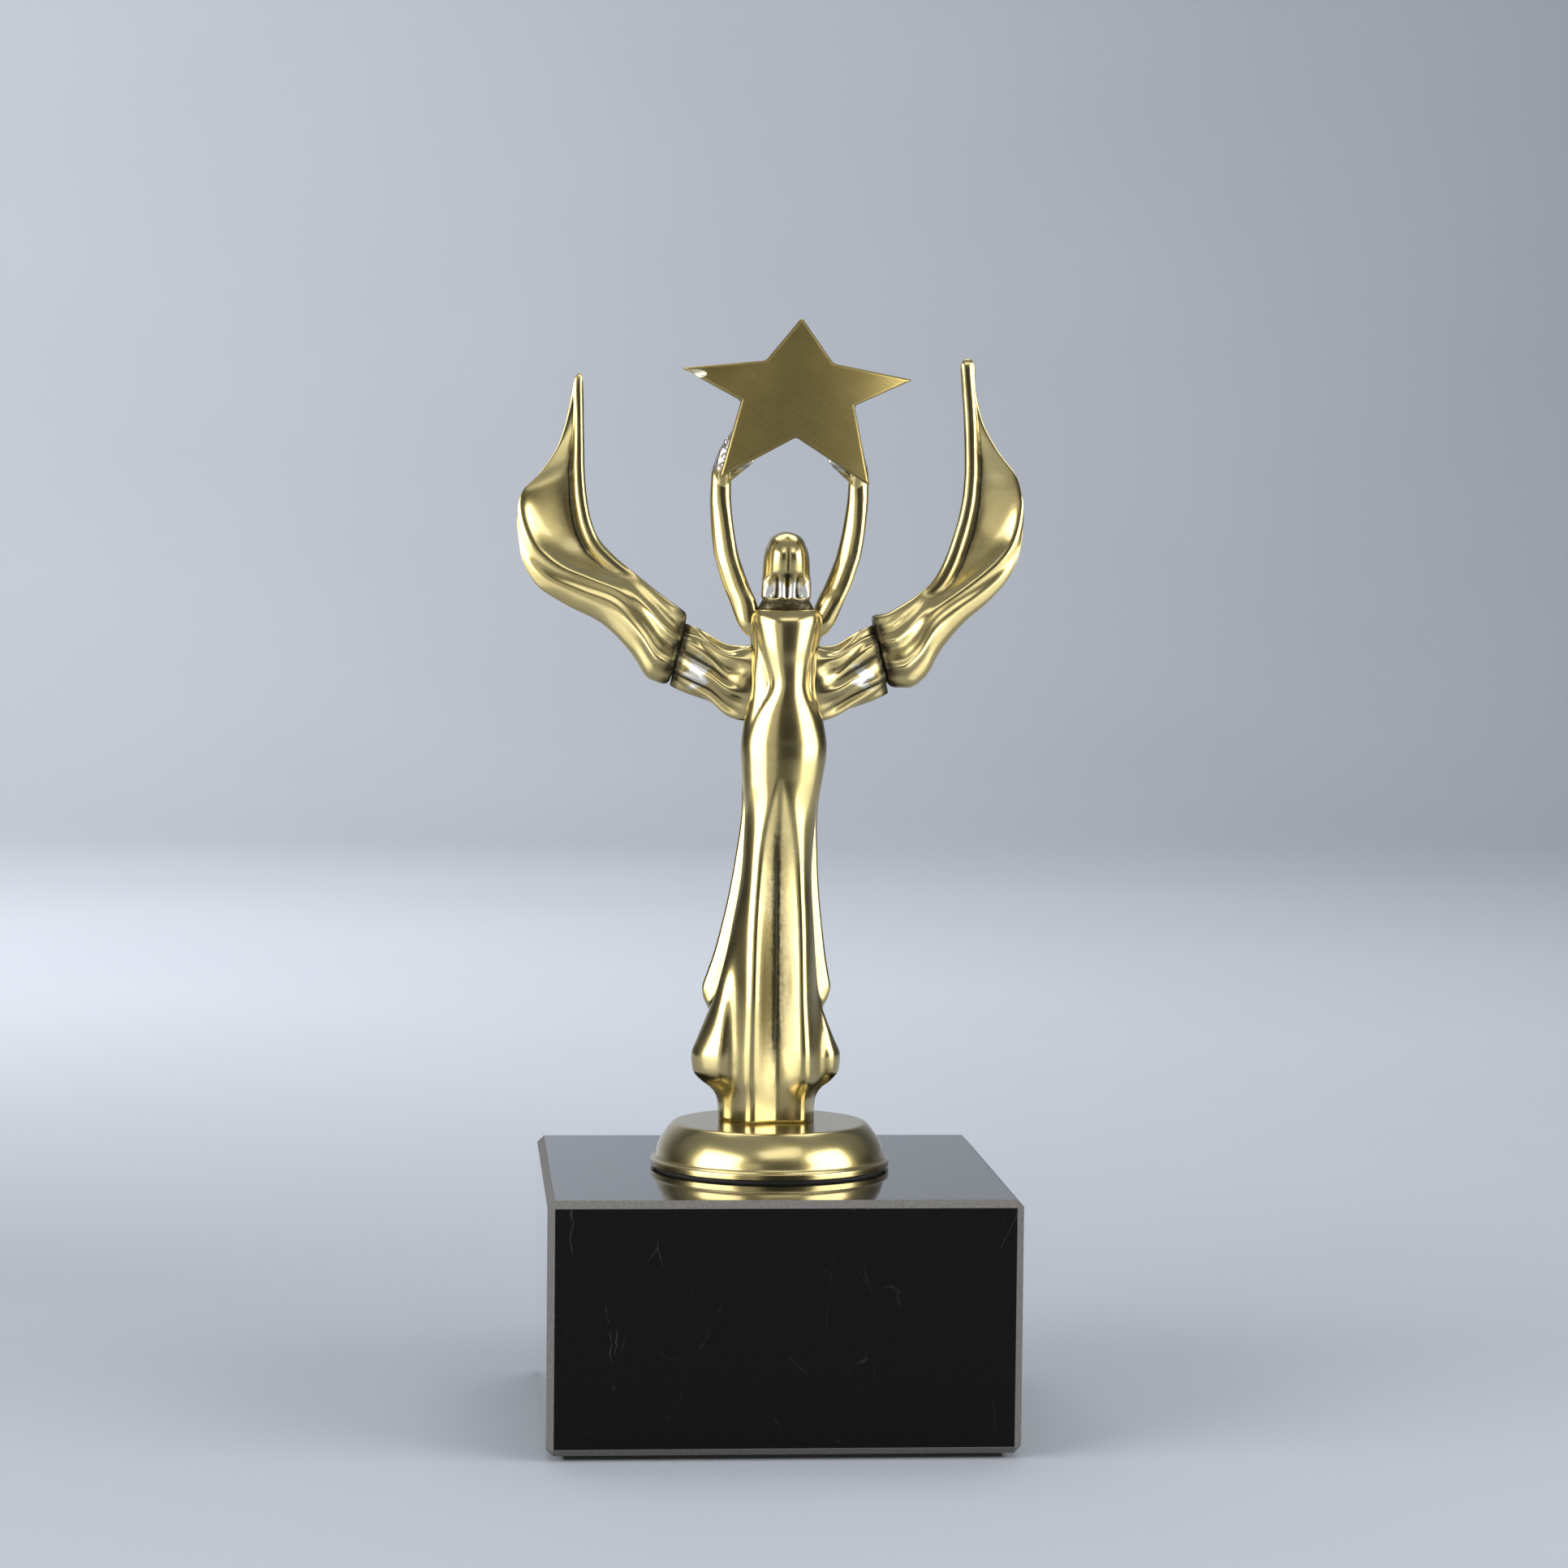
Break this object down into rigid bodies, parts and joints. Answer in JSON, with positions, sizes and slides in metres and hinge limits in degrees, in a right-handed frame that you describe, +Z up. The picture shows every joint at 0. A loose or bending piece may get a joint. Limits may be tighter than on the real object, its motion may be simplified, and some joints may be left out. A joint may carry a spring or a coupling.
{
  "type": "star trophy",
  "caption": "Cast brass figure in a long gown with a billowing scarf, holding up a star, on a round plinth and a square black marble block.",
  "frame": {"origin": "centre of the underside, on the surface that the trophy stands on", "axes": "+Z up; the figure faces +Y, so its back and the star's plain face point to -Y; +X is to the right when looking along +Y"},
  "size_m": [0.09, 0.08, 0.1929],
  "materials": {
    "felt": "black needle felt",
    "marble": "polished black marble with ground edges",
    "gasket_rubber": "matt",
    "plinth_brass": "brushed and lacquered",
    "figure_brass": "brushed, darkened in the folds and lacquered",
    "star_brass": "brushed face, polished edge",
    "zinc_steel": "zinc plated",
    "solder": "bright, lumpy"
  },
  "bodies": {
    "root": {"base_felt": "felt", "marble_base": "marble", "plinth_gasket": "gasket_rubber", "plinth_disc": "plinth_brass", "fixing_stud": "zinc_steel", "flat_washer": "zinc_steel", "spring_washer": "zinc_steel", "hex_nut": "zinc_steel", "gown": "figure_brass", "head": "figure_brass", "arm_left": "figure_brass", "arm_right": "figure_brass", "scarf_root_left": "figure_brass", "scarf_root_right": "figure_brass", "scarf_left": "figure_brass", "scarf_right": "figure_brass", "scarf_pins": "zinc_steel", "star_plate": "star_brass", "solder_left": "solder", "solder_right": "solder"}
  },
  "joints": []
}
